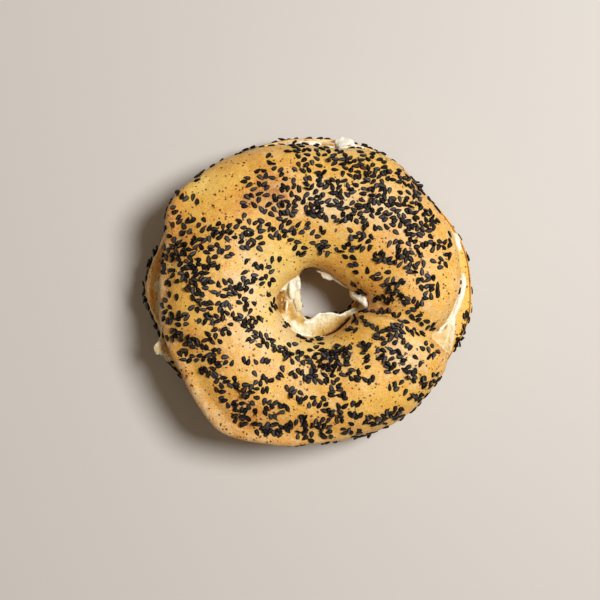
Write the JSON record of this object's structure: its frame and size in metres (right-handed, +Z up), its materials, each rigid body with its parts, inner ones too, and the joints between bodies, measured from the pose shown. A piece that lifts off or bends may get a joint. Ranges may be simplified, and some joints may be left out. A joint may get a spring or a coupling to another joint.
{
  "type": "bagel with cream cheese",
  "caption": "Sliced ring bagel crusted with black sesame, filled with cream cheese that is squeezed out at the seam and in the hole.",
  "frame": {"origin": "on the table, under the middle of the bagel's box", "axes": "+Z up out of the table, +X along the longest width, towards the side where the seam of cream shows, +Y away from the one who eats"},
  "size_m": [0.1302, 0.122, 0.0454],
  "materials": {
    "crust_lower": "baked crust, golden brown, with black sesame on the wall and a toasted cut face",
    "cream": "soft cream cheese, spread with a knife, satin",
    "crust_upper": "baked crust, golden with a soft sheen, thickly strewn with black sesame"
  },
  "bodies": {
    "root": {"lower_half": "crust_lower", "cream_cheese": "cream", "upper_half": "crust_upper"}
  },
  "joints": []
}
